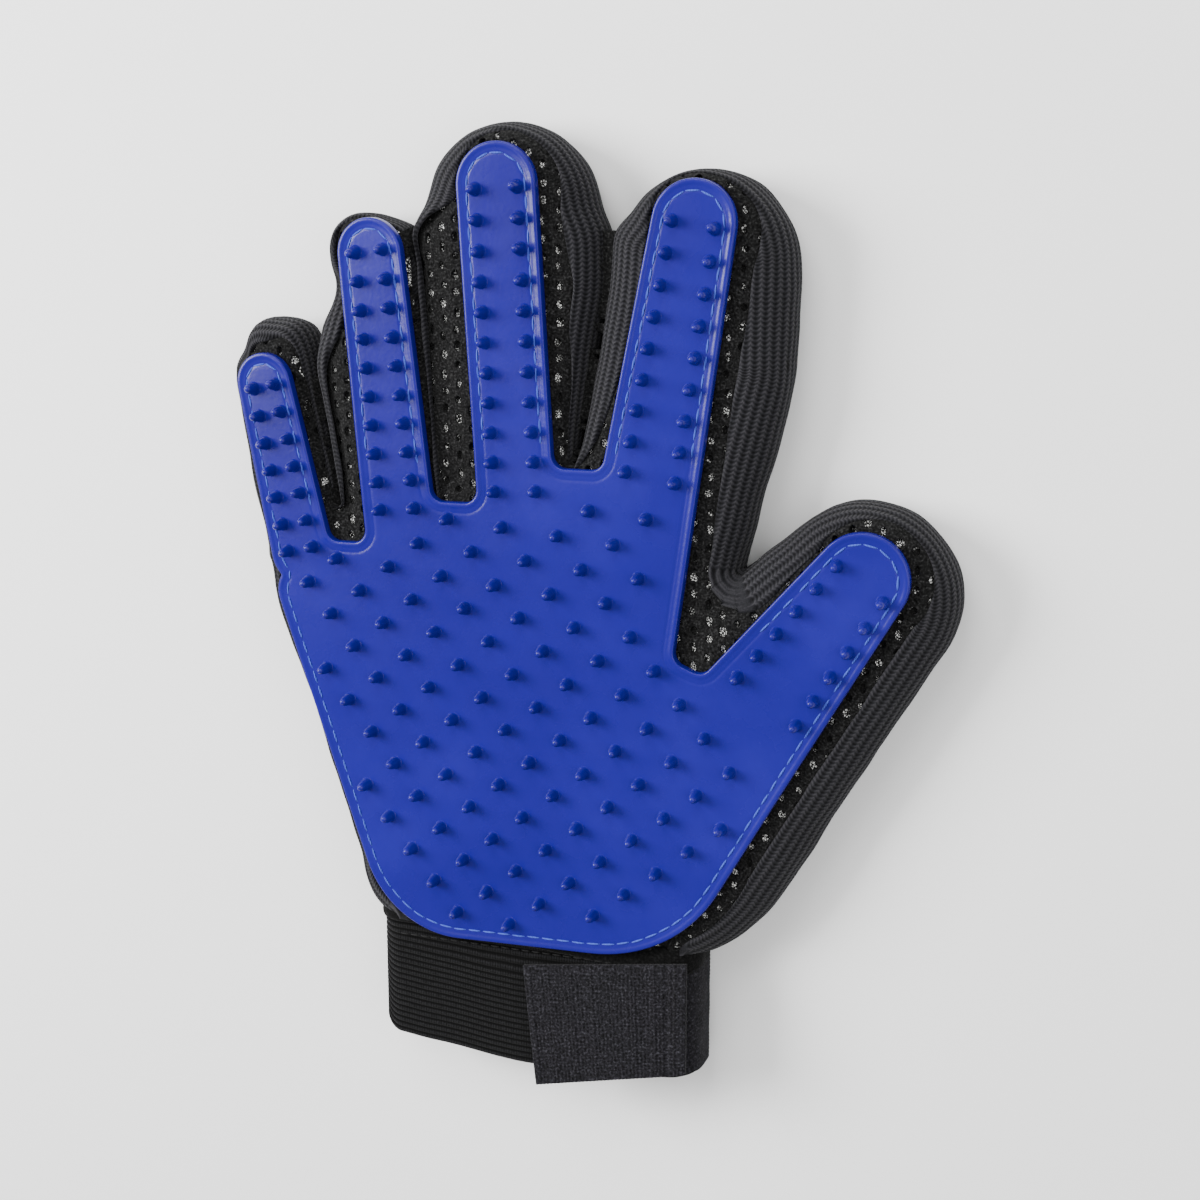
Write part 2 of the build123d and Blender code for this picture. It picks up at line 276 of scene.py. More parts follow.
def filled(loop, step):
    """Triangles that fill a closed loop: all the points, the loop's own first."""
    low, high = loop.min(0), loop.max(0)
    rows = np.arange(low[1], high[1], step * HEX_ROW)
    dots = np.array([
        (x, y)
        for k, y in enumerate(rows)
        for x in np.arange(low[0] + (k % 2) * step / 2, high[0], step)
    ])
    dots = dots[signed_distance(dots, loop) > 0.55 * step]
    corners = [Vector(p) for p in np.vstack([loop, dots])]
    out = delaunay_2d_cdt(corners, [], [list(range(len(loop)))], 1, 1e-5)
    points, triangles, origins = out[0], out[2], out[3]
    number = {}
    plan = list(corners)
    for k, origin in enumerate(origins):
        if origin:
            number[k] = origin[0]
        else:
            number[k] = len(plan)
            plan.append(points[k])
    return np.array([p[:] for p in plan]), [[number[v] for v in face] for face in triangles]


def joint_frame(name):
    """A joint's point, and the direction past it, in plan."""
    axis = JOINTS[name]["axis"]
    return np.array(JOINTS[name]["pos_m"][:2]) / MM, np.array([-axis[1], axis[0]])


def knuckle_frame(finger):
    return joint_frame(f"{finger}_knuckle")


FINGER_HULLS = {finger: hull_of(circles) for finger, circles in TUBES.items()}


def regions(plan):
    """Each plan point's piece: 0 for the palm, then two for each finger."""
    depth = np.array([signed_distance(plan, FINGER_HULLS[finger]) for finger in FINGERS])
    nearest = depth.argmax(0)
    code = np.zeros(len(plan), int)
    for k, finger in enumerate(FINGERS):
        point, ahead = knuckle_frame(finger)
        past = (plan - point) @ ahead
        start, _, split, _ = FOLDS[finger]
        own = (nearest == k) & (depth[k] > -4) & (past > start)
        code[own] = 2 * k + 1
        code[own & (past > split)] = 2 * k + 2
    return code


def region_name(code, halves=("upper", "lower")):
    """A region's name, by what the outer and inner half of a finger are called."""
    return f"{FINGERS[(code - 1) // 2]}_{halves[code % 2]}" if code else "palm"


def cad_segment(code):
    """The CAD body whose nodes a region's pieces stand for."""
    return region_name(code, ("tip", "base"))


def attach(piece, code):
    """Ties a piece to the palm, or bakes a finger piece's transform into its mesh."""
    if code == 0:
        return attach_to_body(piece, "palm")
    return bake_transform(piece)


# Making meshes

DOME = 0.03  # share of the height lost at the glove's far sides
WAVE, WAVE_LENGTH = 0.25, 38


def lie(points):
    """The glove's gentle dome and unevenness, for points of its layers."""
    points = points.copy()
    half = cad_box[1].x / MM
    points[:, 2] *= 1 - DOME * (points[:, 0] / half) ** 2
    waves = [noise.noise(Vector((x / WAVE_LENGTH, y / WAVE_LENGTH, 3.1))) for x, y in points[:, :2]]
    points[:, 2] += WAVE * np.array(waves) * np.clip(points[:, 2] / PAD_TOP, 0, 1)
    return points


def make_mesh(name, points, faces, material, weave=None, normals=None):
    """A smooth mesh object from points in millimetres."""
    mesh = bpy.data.meshes.new(name)
    mesh.from_pydata((np.asarray(points) * MM).tolist(), [], [list(map(int, f)) for f in faces])
    mesh.shade_smooth()
    mesh.materials.append(material)
    if weave is not None:
        layer = mesh.attributes.new("weave", "FLOAT_VECTOR", "POINT")
        layer.data.foreach_set("vector", np.asarray(weave, np.float32).ravel())
    if normals is not None:
        mesh.normals_split_custom_set_from_vertices(normals.tolist())
    piece = bpy.data.objects.new(name, mesh)
    bpy.context.scene.collection.objects.link(piece)
    return piece


def vertex_normals(points, faces):
    """Unit normals of the vertices of three- and four-sided faces."""
    total = np.zeros((len(points), 3))
    for size in sorted({len(f) for f in faces}):
        group = np.array([f for f in faces if len(f) == size])
        corner = points[group]
        normal = np.cross(corner[:, 2] - corner[:, 0], corner[:, -1] - corner[:, 1])
        if size == 3:
            normal = np.cross(corner[:, 1] - corner[:, 0], corner[:, 2] - corner[:, 0])
        for k in range(size):
            np.add.at(total, group[:, k], normal)
    return total / np.maximum(np.linalg.norm(total, axis=1), 1e-12)[:, None]


def wound(grid):
    """Faces between the rows of a grid whose rows are closed rings."""
    return [
        (a[i], a[(i + 1) % len(a)], b[(i + 1) % len(a)], b[i])
        for a, b in zip(grid, grid[1:])
        for i in range(len(a))
    ]


def slab_faces(grid):
    """Faces of a slab with an upper and a lower grid: both sides, then the border."""
    upper, lower = grid
    rows, columns = upper.shape
    faces = []
    for j in range(rows - 1):
        for i in range(columns - 1):
            faces.append((upper[j, i], upper[j + 1, i], upper[j + 1, i + 1], upper[j, i + 1]))
            faces.append((lower[j, i], lower[j, i + 1], lower[j + 1, i + 1], lower[j + 1, i]))
    border = (
        [(0, i) for i in range(columns)]
        + [(j, columns - 1) for j in range(1, rows)]
        + [(rows - 1, i) for i in range(columns - 2, -1, -1)]
        + [(j, 0) for j in range(rows - 2, 0, -1)]
    )
    return faces + [
        (upper[a], upper[b], lower[b], lower[a]) for a, b in zip(border, border[1:] + border[:1])
    ]


def layer(kind, points, faces, material, slot, stands_for, weave=None):
    """Cuts one layer of the glove into its palm and finger pieces, and ties the palm piece to the palm."""
    points = lie(points)
    normals = vertex_normals(points, faces)
    centres = np.array([points[list(f)].mean(0)[:2] for f in faces])
    code = regions(centres)
    made = {}
    for value in sorted(set(code)):
        own = [faces[k] for k in np.flatnonzero(code == value)]
        used = sorted({v for f in own for v in f})
        number = {v: k for k, v in enumerate(used)}
        piece = make_mesh(
            f"{kind}_{region_name(value)}",
            points[used],
            [[number[v] for v in f] for f in own],
            material,
            None if weave is None else weave[used],
            normals[used],
        )
        attach(piece, value)
        if stands_for:
            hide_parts(f"{cad_segment(value)}_{stands_for}")
        made[value] = piece
    return made


# Materials


def new_material(name, colour, roughness, sheen=0.0, specular=0.5):
    material = bpy.data.materials.new(name)
    material.use_nodes = True
    shader = material.node_tree.nodes["Principled BSDF"]
    shader.inputs["Base Color"].default_value = (*colour, 1)
    shader.inputs["Roughness"].default_value = roughness
    shader.inputs["Sheen Weight"].default_value = sheen
    shader.inputs["Specular IOR Level"].default_value = specular
    return material, material.node_tree, shader


def add_node(tree, kind, settings=None, **inputs):
    node = tree.nodes.new(kind)
    for key, value in (settings or {}).items():
        setattr(node, key, value)
    for key, value in inputs.items():
        socket = node.inputs[key.replace("_", " ")]
        if isinstance(value, bpy.types.NodeSocket):
            tree.links.new(value, socket)
        else:
            socket.default_value = value
    return node


def place(tree):
    return add_node(tree, "ShaderNodeTexCoord").outputs["Object"]


def maths(operation, a, b=0.0):
    tree = a.id_data
    node = tree.nodes.new("ShaderNodeMath")
    node.operation = operation
    for k, value in enumerate((a, b)):
        if isinstance(value, bpy.types.NodeSocket):
            tree.links.new(value, node.inputs[k])
        else:
            node.inputs[k].default_value = value
    return node.outputs[0]


def times(a, b):
    return maths("MULTIPLY", a, b)


def plus(a, b):
    return maths("ADD", a, b)


def ridges(turns):
    """Rounded ridges with sharp valleys between them."""
    return maths("ABSOLUTE", maths("SINE", turns))


def swell(kind, turns):
    """A wave from 0 to 1, of kind SINE or COSINE."""
    return times(plus(maths(kind, turns), 1.0), 0.5)


def speckle(tree, scale, detail):
    """Noise fixed to the piece."""
    return add_node(tree, "ShaderNodeTexNoise", Vector=place(tree), Scale=scale, Detail=detail).outputs["Fac"]


def weave_parts(tree):
    """The X, Y and Z of the weave attribute."""
    weave = add_node(tree, "ShaderNodeAttribute", {"attribute_name": "weave"})
    return add_node(tree, "ShaderNodeSeparateXYZ", Vector=weave.outputs["Vector"]).outputs


def ramp(factor, stops):
    """Colour ramp with (position, colour) stops."""
    node = add_node(factor.id_data, "ShaderNodeValToRGB", Fac=factor)
    elements = node.color_ramp.elements
    while len(elements) < len(stops):
        elements.new(0.5)
    for element, (position, colour) in zip(elements, stops):
        element.position = position
        element.color = (*colour, 1)
    return node.outputs["Color"]


def coloured(shader, factor, stops):
    shader.id_data.links.new(ramp(factor, stops), shader.inputs["Base Color"])


def bumped(shader, height, distance):
    bump = add_node(shader.id_data, "ShaderNodeBump", Height=height, Distance=distance, Strength=1.0)
    shader.id_data.links.new(bump.outputs["Normal"], shader.inputs["Normal"])


def silicone_material():
    material, tree, shader = new_material("silicone", (0.010, 0.005, 0.16), 0.3, specular=0.22)
    shader.inputs["Subsurface Weight"].default_value = 0.08
    shader.inputs["Subsurface Radius"].default_value = (0.0006, 0.0008, 0.002)
    stops = [(0.3, (0.0085, 0.004, 0.15)), (0.55, (0.010, 0.0055, 0.17)), (0.75, (0.0145, 0.0095, 0.2))]
    coloured(shader, speckle(tree, 28.0, 4.0), stops)
    smudges = add_node(
        tree, "ShaderNodeMapRange", Value=speckle(tree, 90.0, 6.0), To_Min=0.2, To_Max=0.34
    )
    tree.links.new(smudges.outputs["Result"], shader.inputs["Roughness"])
    bumped(shader, speckle(tree, 900.0, 2.0), 0.00003)
    return material


def thread_material(name, dark, light):
    material, tree, shader = new_material(name, light, 0.75, 0.05, 0.15)
    twist = add_node(tree, "ShaderNodeTexWave", Vector=place(tree), Scale=900.0, Distortion=2.0)
    # the twist's grooves are painted dark and its ridges light: painted shade and highlight on the thread
    coloured(shader, twist.outputs["Fac"], [(0.2, dark), (0.8, light)])
    bumped(shader, twist.outputs["Fac"], 0.00006)
    return material


KNIT_COURSE = 1.1  # pitch of the stitches along a rib
KNIT_LEAN = 0.6  # how far a stitch leans on its way across a rib


def knit_material():
    """Knitted stitches from the weave attribute, in mm along and across the ribs."""
    material, tree, shader = new_material("knit", (0.009, 0.009, 0.01), 0.95, 0.05, 0.05)
    shader.inputs["Sheen Roughness"].default_value = 0.5
    parts = weave_parts(tree)
    across = times(parts["Y"], 2 * pi / WALE)
    lean = times(ridges(times(across, 0.5)), KNIT_LEAN)
    along = times(plus(parts["X"], lean), 2 * pi / KNIT_COURSE)
    loops, wales = swell("SINE", along), swell("COSINE", across)
    both = plus(times(loops, 0.5), times(wales, 0.6))
    height = plus(both, times(speckle(tree, 2600.0, 3.0), 0.6))
    # colour follows the stitches' height: painted shade in the grooves between loops and ribs, painted
    # highlight on their crests
    stops = [(0.22, (0.004, 0.004, 0.0045)), (0.5, (0.013, 0.013, 0.015)), (0.85, (0.034, 0.033, 0.037))]
    coloured(shader, times(height, 0.62), stops)
    bumped(shader, height, 0.0003)
    return material


def cloth_material(name, colours, grain_scale, depth):
    """Dark cloth with a fine yarn grain."""
    material, tree, shader = new_material(name, colours[1], 0.95, 0.03, 0.05)
    grain = speckle(tree, grain_scale, 4.0)
    coloured(shader, grain, list(zip((0.3, 0.55, 0.8), colours)))
    bumped(shader, grain, depth)
    return material


ELASTIC_YARN = 0.7  # pitch of the yarn round a rib, in mm


def elastic_material():
    """Black cord ribs with a painted highlight along their crests and painted shade between them; the weave
    attribute counts ribs.
    """
    material, tree, shader = new_material("elastic", (0.004,) * 3, 0.9, 0.03, 0.08)
    parts = weave_parts(tree)
    crest = ridges(times(parts["Y"], pi))
    yarn = ridges(times(parts["X"], pi / ELASTIC_YARN))
    both = times(crest, plus(times(yarn, 0.3), 0.7))
    height = times(both, plus(times(speckle(tree, 1800.0, 3.0), 0.8), 0.6))
    # colour follows the rib height: painted shade in the valleys, painted highlight on the crests
    stops = [(0.25, (0.0006,) * 3), (0.65, (0.002,) * 3), (0.98, (0.0105, 0.0105, 0.0115))]
    coloured(shader, height, stops)
    bumped(shader, height, 0.0003)
    return material


def lining_material():
    """Pale lining under a fine black net, so that it shows as flecks."""
    material, tree, shader = new_material("lining", (0.6, 0.6, 0.58), 0.9, 0.1, 0.2)
    edges = {"feature": "DISTANCE_TO_EDGE"}
    cells = add_node(tree, "ShaderNodeTexVoronoi", edges, Vector=place(tree), Scale=1700.0)
    net = ramp(cells.outputs["Distance"], [(0.13, (0.004,) * 3), (0.2, (0.8, 0.8, 0.78))])
    mask = ramp(speckle(tree, 170.0, 3.0), [(0.44, (0.01,) * 3), (0.52, (1.0,) * 3)])
    mix = add_node(tree, "ShaderNodeMix", {"data_type": "RGBA", "blend_type": "MULTIPLY"})
    mix.inputs["Factor"].default_value = 1.0
    tree.links.new(net, mix.inputs["A"])
    tree.links.new(mask, mix.inputs["B"])
    tree.links.new(mix.outputs["Result"], shader.inputs["Base Color"])
    bumped(shader, cells.outputs["Distance"], 0.0003)
    return material


SILICONE = silicone_material()
PAD_THREAD = thread_material("pad_thread", (0.02, 0.035, 0.25), (0.07, 0.12, 0.6))
DARK_THREAD = thread_material("dark_thread", (0.003,) * 3, (0.014,) * 3)
KNIT = knit_material()
NET = cloth_material("mesh", [(0.001,) * 3, (0.009,) * 3, (0.04,) * 3], 1900.0, 0.00025)
LINING = lining_material()
ELASTIC = elastic_material()
HEM = cloth_material("hem", [(0.001,) * 3, (0.004,) * 3, (0.012,) * 3], 1500.0, 0.0003)
LOOP = cloth_material("loop", [(0.001,) * 3, (0.004,) * 3, (0.012,) * 3], 2000.0, 0.0004)
# the grain's lightest stop gives bright specks that stand for the sheen on the hooks: partly yarn grain,
# partly painted highlight
WEBBING = cloth_material(
    "webbing", [(0.003,) * 3, (0.0125, 0.012, 0.0145), (0.045, 0.044, 0.052)], 1700.0, 0.0003
)
HOOKS = cloth_material("hooks", [(0.002,) * 3, (0.005,) * 3, (0.014,) * 3], 1200.0, 0.0001)


# Cloth body: knit sides and back, mesh panel with eyelets, lining


CUT_DRIFT = 0.08  # how far a cut edge may turn from its flex line
CUT_HALF = 1.75  # how far from the flex line a cut lies at most
CUT_REACH = 16  # how far to the side of the joint's middle a cut reaches


def on_cut(node, a, b):
    """Whether an outline edge of a node lies on a cut along a flex line."""
    for name in JOINTS:
        finger = name.split("_")[0]
        if finger not in FINGERS or not node.startswith((finger, "palm")):
            continue
        point, ahead = joint_frame(name)
        past = [(np.array(p) - point) @ ahead for p in (a, b)]
        aside = abs(((np.array(a) + b) / 2 - point) @ (ahead[1], -ahead[0]))
        if abs(past[0] - past[1]) < CUT_DRIFT and max(map(abs, past)) < CUT_HALF and aside < CUT_REACH:
            return True
    return False


def joint_edges(node, height):
    """A CAD node's outline at one height without the cuts along the flex lines."""
    return [edge for edge in flat_edges(node, height) if not on_cut(node, *edge)]


def pad_outline():
    """The whole pad's outline, joined across the flex lines."""
    runs = [(node, run) for node in nodes_of("pad") for run in chains(joint_edges(node, PAD_UNDER))]
    runs.sort(key=lambda item: -len(item[1]))
    node, run = runs.pop(0)
    parts = [run]
    while runs:
        end = parts[-1][-1]
        choices = [
            (np.hypot(*(other[side] - end)), k, side)
            for k, (name, other) in enumerate(runs)
            for side in (0, -1)
            if name != node
        ]
        if not choices:
            break
        _, k, side = min(choices)
        node, run = runs.pop(k)
        parts.append(run if side == 0 else run[::-1])
    return around(np.vstack(parts))


def cloth_height(depth, gap):
    """Top of the cloth, depth in from its outline and gap short of the silicone."""
    depth, gap = np.maximum(depth, 0), np.maximum(gap, 0)
    share = np.clip(np.maximum(depth / ROUNDING, depth / np.maximum(depth + gap, 0.1)), 0, 1)
    rise = (1 - (1 - share) ** ROUNDNESS) ** (1 / ROUNDNESS)
    return EQUATOR + (CLOTH_TOP - EQUATOR) * rise


def knit_width(gap, inward):
    """How far in the knit reaches, where the silicone is a gap away from the outline."""
    rightness = 0.5 - 0.5 * inward[:, 0]
    strip = MESH_STRIP[0] + (MESH_STRIP[1] - MESH_STRIP[0]) * rightness
    least = KNIT_WIDTH[0] * np.minimum(gap, ROUNDING)
    return np.clip(gap - strip, least, KNIT_WIDTH[1])


def gap_to_pad(plan, least=0.0):
    """How far plan points lie from the silicone."""
    return np.maximum(-signed_distance(plan, pad_loop), least)


def below_wrist():
    """Plan loop that carries the palm's tube on past the wrist, where it is cut off."""
    left, right = (v.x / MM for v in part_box("wrist_elastic"))
    return np.array([(left + 1, -120.0), (right - 1, -120.0), (right + 1, -60.0), (left + 3, -60.0)])


def cut_at_wrist(points, faces):
    """Pulls the faces that cross the wrist back to it, and drops those beyond."""
    keep = [f for f in faces if max(points[v, 1] for v in f) > WRIST_Y]
    points = points.copy()
    points[:, 1] = np.maximum(points[:, 1], WRIST_Y)
    return points, keep


def fingers_together(loop, inward):
    """How far to push each outline point out, so that neighbouring fingers all but touch."""
    push = np.zeros(len(loop))
    rest, full, none = TOUCHING
    order = np.arange(len(loop))
    for k in np.flatnonzero((loop[:, 0] < FINGER_GAPS[0]) & (loop[:, 1] > FINGER_GAPS[1])):
        away = loop - loop[k]
        apart = np.minimum((order - k) % len(loop), (k - order) % len(loop))
        facing = (inward @ inward[k] < -0.6) & (away @ -inward[k] > 0) & (apart > 15)
        if facing.any():
            gap = np.hypot(*away[facing].T).min()
            push[k] = max(0, gap - rest) / 2 * np.clip((none - gap) / (none - full), 0, 1)
    return blurred(push, 9)


cloth_outline = union_outline([*FINGER_HULLS.values(), hull_of(PALM_TUBE), below_wrist()])
cloth_outline = around(cloth_outline, np.array([0.0, -120.0]))
rim, rim_in, rim_at = evened(cloth_outline, 1.2, 9.0, 1.6)
rim = rim - rim_in * fingers_together(rim, rim_in)[:, None]
pad_loop = pad_outline()
rim_gap = gap_to_pad(rim, 1.5)
turned, over, beside, within = LEFT_SIDE
leftward = np.clip((rim_in[:, 0] - turned) / over, 0, 1) * np.clip((beside - rim[:, 0]) / within, 0, 1)
pull = blurred(leftward * np.maximum(rim_gap - LEFT_GAP, 0), 11)
rim = rim + rim_in * pull[:, None]
rim_gap = blurred(gap_to_pad(rim, 1.5), 7)
rim_knit = blurred(knit_width(rim_gap, rim_in), 9)


def knit_edge(plan):
    """How far in from the outline the knit ends, for plan points near it."""
    edge = np.empty(len(plan))
    for k in range(0, len(plan), CHUNK):
        apart = ((plan[k : k + CHUNK, None] - rim) ** 2).sum(2)
        edge[k : k + CHUNK] = rim_knit[apart.argmin(1)]
    return edge


KNIT_ROWS = (14, 34)  # rings below the widest line, and from it in to the knit's edge
KNIT_CROWDING = 1.8  # above 1, the upper rings crowd towards the widest line
KNIT_LIP = ((0.45, 0.15), (0.75, 0.6), (0.6, 1.3))  # how far past the knit's edge, and down
SMALL_LUMPS, BROAD_LUMPS = (0.32, 8), (0.5, 21)  # height and size


def build_knit():
    """Knit bag: up the sides from the back, over the shoulder and in to its lip."""
    count, (foot_rows, top_rows) = len(rim), KNIT_ROWS
    turn = np.linspace(pi / 2, 0, foot_rows + 1)[:-1]
    inset = [np.full(count, FOOT_ROUNDING * (1 - cos(t) ** (2 / ROUNDNESS))) for t in turn]
    height = [np.full(count, EQUATOR - (EQUATOR - CLOTH_FOOT) * sin(t) ** (2 / ROUNDNESS)) for t in turn]
    for share in np.linspace(0, 1, top_rows) ** KNIT_CROWDING:
        inset.append(rim_knit * share)
        height.append(cloth_height(rim_knit * share, rim_gap - rim_knit * share))
    for further, sunk in KNIT_LIP:
        inset.append(rim_knit + further)
        height.append(height[sum(KNIT_ROWS) - 1] - sunk)
    rows = len(inset)
    points = np.zeros((rows, count, 3))
    for k in range(rows):
        points[k, :, :2] = rim + rim_in * inset[k][:, None]
        points[k, :, 2] = height[k]
    steps = np.linalg.norm(np.diff(points, axis=0), axis=2)
    across = np.r_[np.zeros((1, count)), np.cumsum(steps, axis=0)]
    weave = np.zeros((rows, count, 3))
    weave[..., 0] = rim_at
    weave[..., 1] = across
    grid = np.arange(rows * count).reshape(rows, count)
    faces = wound(grid)
    flat = points.reshape(-1, 3)
    lumps = [
        SMALL_LUMPS[0] * noise.noise(Vector(p / SMALL_LUMPS[1]))
        + BROAD_LUMPS[0] * noise.noise(Vector(p / BROAD_LUMPS[1]) + Vector((9, 0, 0)))
        for p in flat
    ]
    push = np.array(lumps) + WALE_DEPTH * np.cos(2 * pi * across.ravel() / WALE)
    flat = flat + vertex_normals(flat, faces) * push[:, None]
    flat[:, 2] = np.maximum(flat[:, 2], LOWEST)
    foot = flat[:count].copy()
    flat, faces = cut_at_wrist(flat, faces)
    made = layer("knit", flat, faces, KNIT, "knit", "knit", weave.reshape(-1, 3))
    plan, triangles = filled(foot[:, :2], 2.2)
    back = np.c_[plan, np.full(len(plan), foot[:, 2].mean())]
    back[:count, 2] = foot[:, 2]
    rough = [noise.noise(Vector((x / 14, y / 14, 1))) for x, y in plan[count:]]
    back[count:, 2] += 0.2 * np.array(rough)
    back, triangles = cut_at_wrist(back, [t[::-1] for t in triangles])
    layer("knit_back", back, triangles, KNIT, "knit", None, np.c_[back[:, 1], back[:, 0], back[:, 2] * 0])


EYELET_PITCH = 4.3
EYELET_SIDES = 18
EYELET_RADII = (0.85, 1.1)  # across the hand and along it
EYELET_SIZES = (0.7, 1.15)  # the range that the radii are scaled by
EYELET_DRIFT = 0.35
EYELET_RIM = ((1.3, 0.1), (1.08, -0.02), (1.0, -0.4), (1.1, -0.8))  # scale and rise, going in
NET_UNDER, LINING_UNDER = 0.25, 1.35  # how far they lie under the cloth's top
NET_OVERLAP = 2.8  # how far the net goes in under the silicone
NET_INSET = 1.0  # the net's least distance from the outline


def net_dip(plan, depth):
    """How far the net goes down where it runs under the knit's edge."""
    return 0.9 * np.clip((knit_edge(plan) + 1.2 - depth) / 1.8, 0, 1)


def build_net():
    """Mesh panel: hexagonal cells, each a rounded rim round an eyelet."""
    step = EYELET_PITCH * HEX_ROW
    low, high = rim.min(0), rim.max(0)
    centres = np.array([
        (low[0] + i * step, low[1] + (j + (i % 2) / 2) * EYELET_PITCH)
        for i in range(int((high[0] - low[0]) / step) + 1)
        for j in range(int((high[1] - low[1]) / EYELET_PITCH) + 1)
    ])
    inside = signed_distance(centres, rim)
    covered = signed_distance(centres, pad_loop)
    near = (inside > 0.2) & (covered < NET_OVERLAP)
    centres = centres[near & (centres[:, 1] > WRIST_Y + 2)]
    turn = np.arange(EYELET_SIDES) * 2 * pi / EYELET_SIDES
    hexagon = EYELET_PITCH / 2 / np.cos(np.mod(turn, pi / 3) - pi / 6)
    points, faces, number = [], [], {}

    def corner(x, y, dz, shared):
        key = (round(x * 20), round(y * 20)) if shared else None
        if key in number:
            return number[key]
        points.append((x, y, dz))
        if shared:
            number[key] = len(points) - 1
        return len(points) - 1

    for x, y in centres:
        wide, long = EYELET_RADII * random.uniform(*EYELET_SIZES, 2)
        dx, dy = random.uniform(-EYELET_DRIFT, EYELET_DRIFT, 2)
        loops = [[corner(x + r * cos(t), y + r * sin(t), 0.0, True) for r, t in zip(hexagon, turn)]]
        for scale, dz in EYELET_RIM:
            a, b = scale * wide, scale * long
            loops.append([corner(x + dx + a * cos(t), y + dy + b * sin(t), dz, False) for t in turn])
        faces += wound(loops)
    points = np.array(points)
    stray = np.flatnonzero(signed_distance(points[:, :2], rim) < NET_INSET)
    nearest = [int(np.argmin(np.hypot(*(rim - points[k, :2]).T))) for k in stray]
    points[stray, :2] = rim[nearest] + rim_in[nearest] * NET_INSET
    depth = signed_distance(points[:, :2], rim)
    gap = gap_to_pad(points[:, :2])
    points[:, 2] += cloth_height(depth, gap) - NET_UNDER - net_dip(points[:, :2], depth)
    return layer("mesh", points, faces, NET, "mesh", "mesh")


def build_lining(net):
    """Pale sheet just under the mesh."""
    plan, triangles = filled(rim + rim_in * np.minimum(rim_knit, 3.0)[:, None], 2.4)
    gap = gap_to_pad(plan)
    depth = signed_distance(plan, rim)
    height = cloth_height(depth, gap) - LINING_UNDER - net_dip(plan, depth)
    points, triangles = cut_at_wrist(np.c_[plan, height], triangles)
    made = layer("lining", points, triangles, LINING, "lining", None)
    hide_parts("palm_lining")
    for value, piece in made.items():
        area = sum(face.area for face in piece.data.polygons)
        ahead = knuckle_frame(FINGERS[(value - 1) // 2])[1] if value else np.array([0, 1])
        plan = np.array([v.co[:2] for v in piece.data.vertices])
        size = np.array([np.ptp(plan @ (ahead[1], -ahead[0])), np.ptp(plan @ ahead)])
        area = min(area, float(size.prod()))


# Silicone pad: sheet with a raised bead round its edge, nubs and sewing


# Section of the pad's edge: how far in, and height above the pad's top
PAD_EDGE = [
    (2.5, -2.15), (0.3, -2.2), (0.05, -2.05), (0.0, -1.8), (0.0, -0.9), (0.03, -0.2), (0.14, 0.12),
    (0.36, 0.2), (0.68, 0.25), (1.0, 0.21), (1.3, 0.11), (1.6, 0.03), (1.95, 0.0), (2.25, -0.03),
    (2.5, -0.1), (2.75, -0.1), (3.0, -0.02), (3.4, 0.0),
]


PAD_FLOOR = PAD_EDGE[0][1]  # how far the pad's underside lies below its top


def build_pad(loop):
    """The pad's edge section swept round its outline, closed above and below."""
    edge, inward, _ = evened(loop, 1.0, 9.0, 1.2)
    rows, count = len(PAD_EDGE), len(edge)
    rings = np.zeros((rows, count, 3))
    for k, (reach, rise) in enumerate(PAD_EDGE):
        rings[k, :, :2] = edge + inward * reach
        rings[k, :, 2] = PAD_TOP + rise
    grid = np.arange(rows * count).reshape(rows, count)
    faces = wound(grid)
    plan, triangles = filled(rings[-1, :, :2], 1.9)
    first = (rows - 1) * count
    faces += [tuple(v + first for v in face) for face in triangles]
    extra = plan[count:]
    points = np.vstack([rings.reshape(-1, 3), np.c_[extra, np.full(len(extra), PAD_TOP)]])
    under, under_faces = filled(rings[0, :, :2], 4.0)
    shift = len(points)
    number = {k: k for k in range(count)}
    number.update({k: k - count + shift for k in range(count, len(under))})
    points = np.vstack([points, np.c_[under[count:], np.full(len(under) - count, PAD_TOP + PAD_FLOOR)]])
    faces += [tuple(number[v] for v in face[::-1]) for face in under_faces]
    layer("pad", points, faces, SILICONE, "silicone", "pad")


# Section of a nub: radius and height above the pad's top, below its tip
NUB_PROFILE = [
    (1.9, -0.1), (1.58, 0.12), (1.46, 0.5), (1.4, 1.3), (1.27, 2.3), (1.06, 3.15), (0.8, 3.75), (0.45, 4.09),
]
NUB_HEIGHT = 4.2
NUB_SIDES = 16
NUB_LEAN = 0.035  # how far a nub leans for each mm of height, in most cases
NUB_SIZES = (0.96, 1.05)


def nub_places():
    """Plan points of the nubs, read from the tips of the CAD's."""
    tips = []
    for node in nodes_of("pad"):
        points = cad_points(node)
        for p in points[points[:, 2] > NUB_TOP - 0.02]:
            if all(np.hypot(*(p[:2] - q)) > 1.5 for q in tips):
                tips.append(p[:2])
    return np.array(tips)


